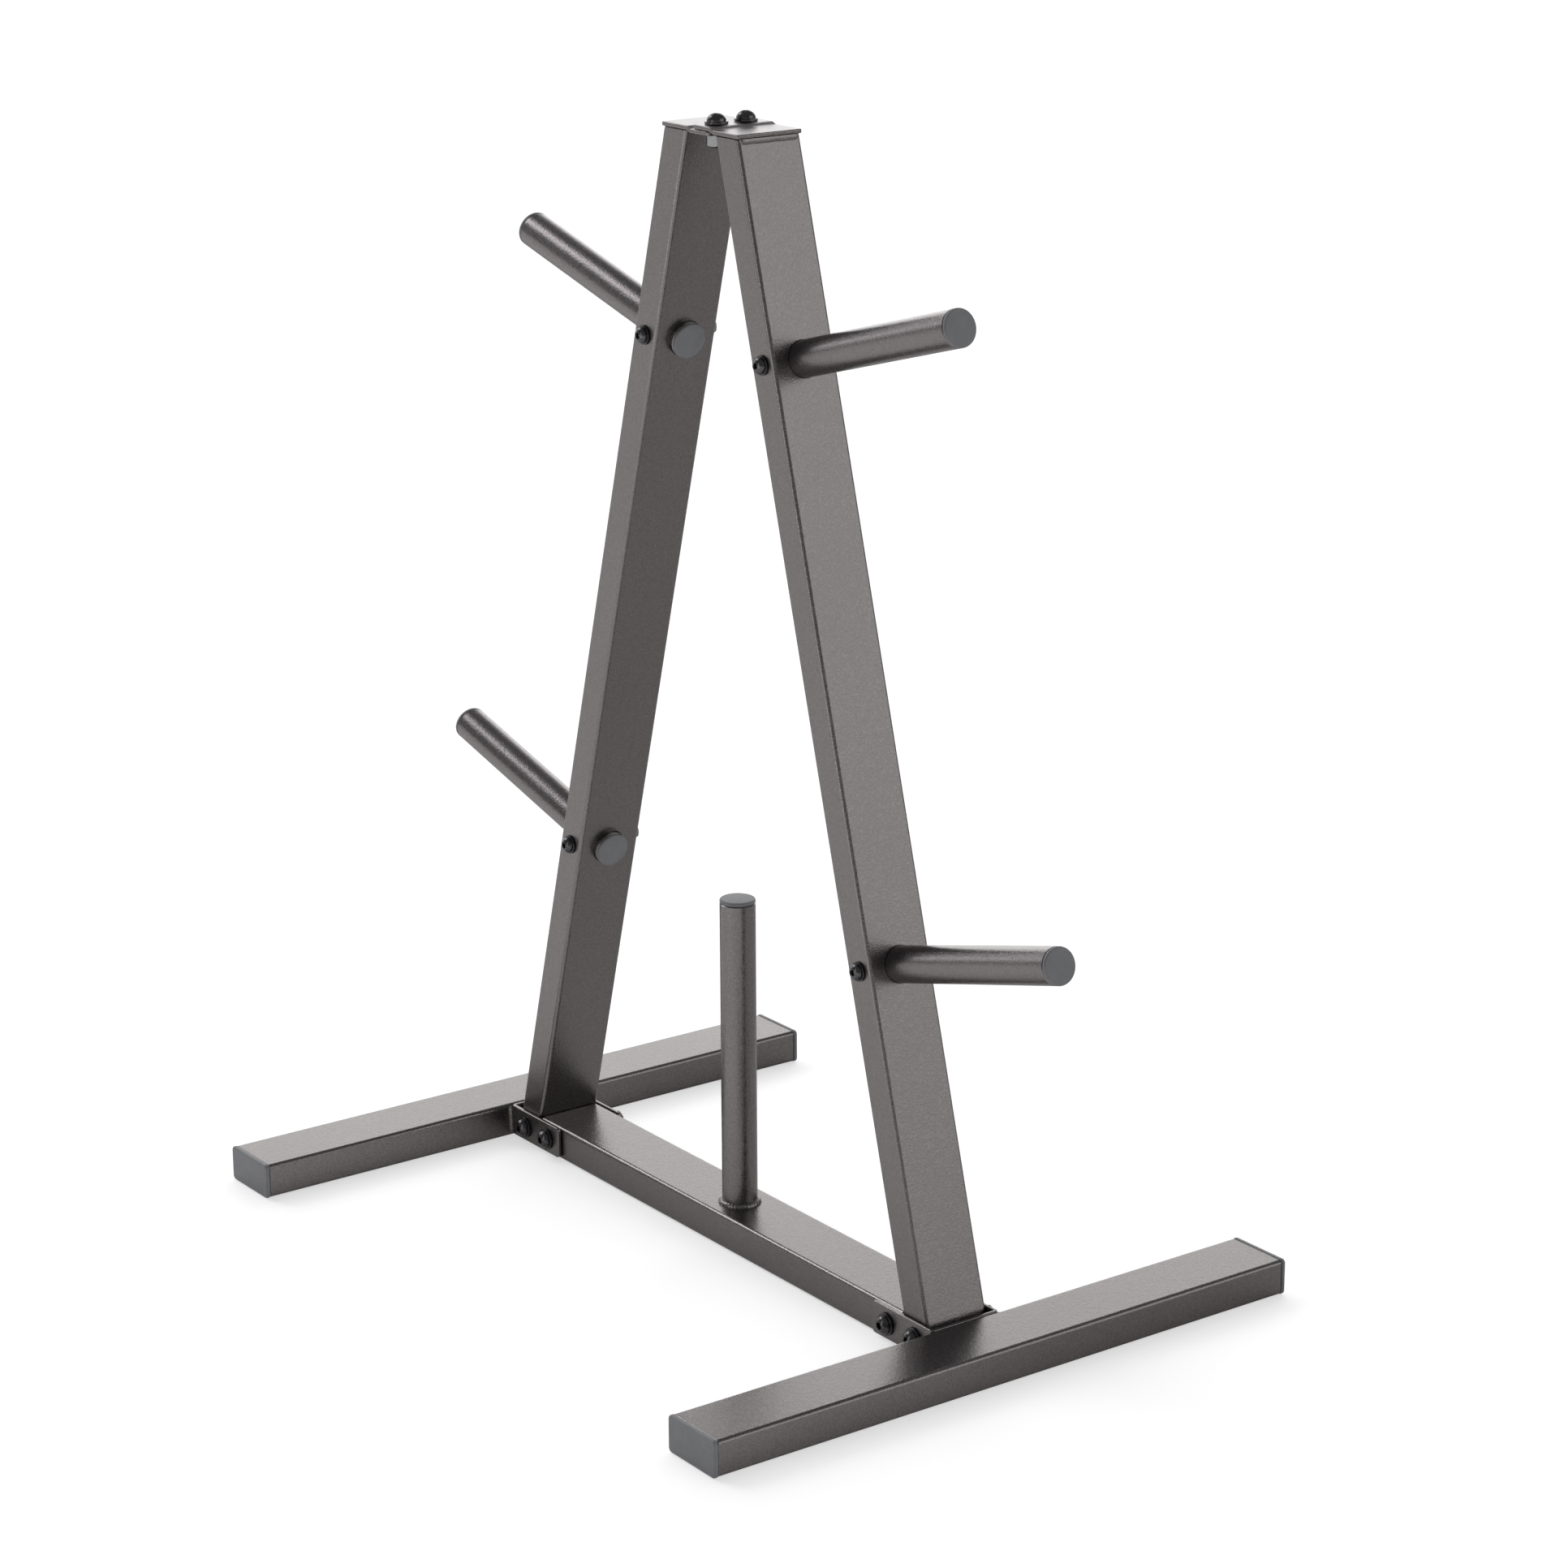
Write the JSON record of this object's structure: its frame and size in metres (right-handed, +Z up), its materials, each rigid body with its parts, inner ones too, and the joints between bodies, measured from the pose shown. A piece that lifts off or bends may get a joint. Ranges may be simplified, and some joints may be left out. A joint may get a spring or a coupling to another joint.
{
  "type": "weight plate tree",
  "caption": "A-frame storage tree for barbell plates: angled side posts on two leaning legs, an upright post on the cross tube, and two long flat feet.",
  "frame": {"origin": "on the floor under the middle of the cross tube, the bottom centre of the bounding box", "axes": "+Z up; +X along the cross tube towards the right foot; +Y along the feet towards the rear, where the nuts are"},
  "size_m": [0.7116, 0.4826, 0.8023],
  "materials": {
    "hammertone_steel": "dark grey hammertone powder coat, semi-gloss",
    "cap_plastic": "moulded grey polyethylene, satin",
    "black_oxide": "black oxide, glossy",
    "zinc": "zinc plated"
  },
  "bodies": {
    "root": {"foot_tube_left": "hammertone_steel", "foot_cap_left_front": "cap_plastic", "foot_cap_left_rear": "cap_plastic", "foot_bracket_left": "hammertone_steel", "leg_left": "hammertone_steel", "top_plate_left": "hammertone_steel", "post_upper_left": "hammertone_steel", "post_cap_upper_left": "cap_plastic", "post_inner_cap_upper_left": "cap_plastic", "post_bolt_upper_left": "black_oxide", "post_washer_upper_left": "black_oxide", "post_nut_upper_left": "zinc", "post_lower_left": "hammertone_steel", "post_cap_lower_left": "cap_plastic", "post_inner_cap_lower_left": "cap_plastic", "post_bolt_lower_left": "black_oxide", "post_washer_lower_left": "black_oxide", "post_nut_lower_left": "zinc", "bracket_bolt_cross_left": "black_oxide", "bracket_washer_cross_left": "black_oxide", "bracket_nut_cross_left": "zinc", "bracket_bolt_leg_left": "black_oxide", "bracket_washer_leg_left": "black_oxide", "bracket_nut_leg_left": "zinc", "foot_tube_right": "hammertone_steel", "foot_cap_right_front": "cap_plastic", "foot_cap_right_rear": "cap_plastic", "foot_bracket_right": "hammertone_steel", "leg_right": "hammertone_steel", "top_plate_right": "hammertone_steel", "post_upper_right": "hammertone_steel", "post_cap_upper_right": "cap_plastic", "post_inner_cap_upper_right": "cap_plastic", "post_bolt_upper_right": "black_oxide", "post_washer_upper_right": "black_oxide", "post_nut_upper_right": "zinc", "post_lower_right": "hammertone_steel", "post_cap_lower_right": "cap_plastic", "post_inner_cap_lower_right": "cap_plastic", "post_bolt_lower_right": "black_oxide", "post_washer_lower_right": "black_oxide", "post_nut_lower_right": "zinc", "bracket_bolt_cross_right": "black_oxide", "bracket_washer_cross_right": "black_oxide", "bracket_nut_cross_right": "zinc", "bracket_bolt_leg_right": "black_oxide", "bracket_washer_leg_right": "black_oxide", "bracket_nut_leg_right": "zinc", "cross_tube": "hammertone_steel", "post_center": "hammertone_steel", "post_cap_center": "cap_plastic", "top_bolt_front": "black_oxide", "top_washer_front": "black_oxide", "top_nut_front": "zinc", "top_bolt_rear": "black_oxide", "top_washer_rear": "black_oxide", "top_nut_rear": "zinc"}
  },
  "joints": []
}
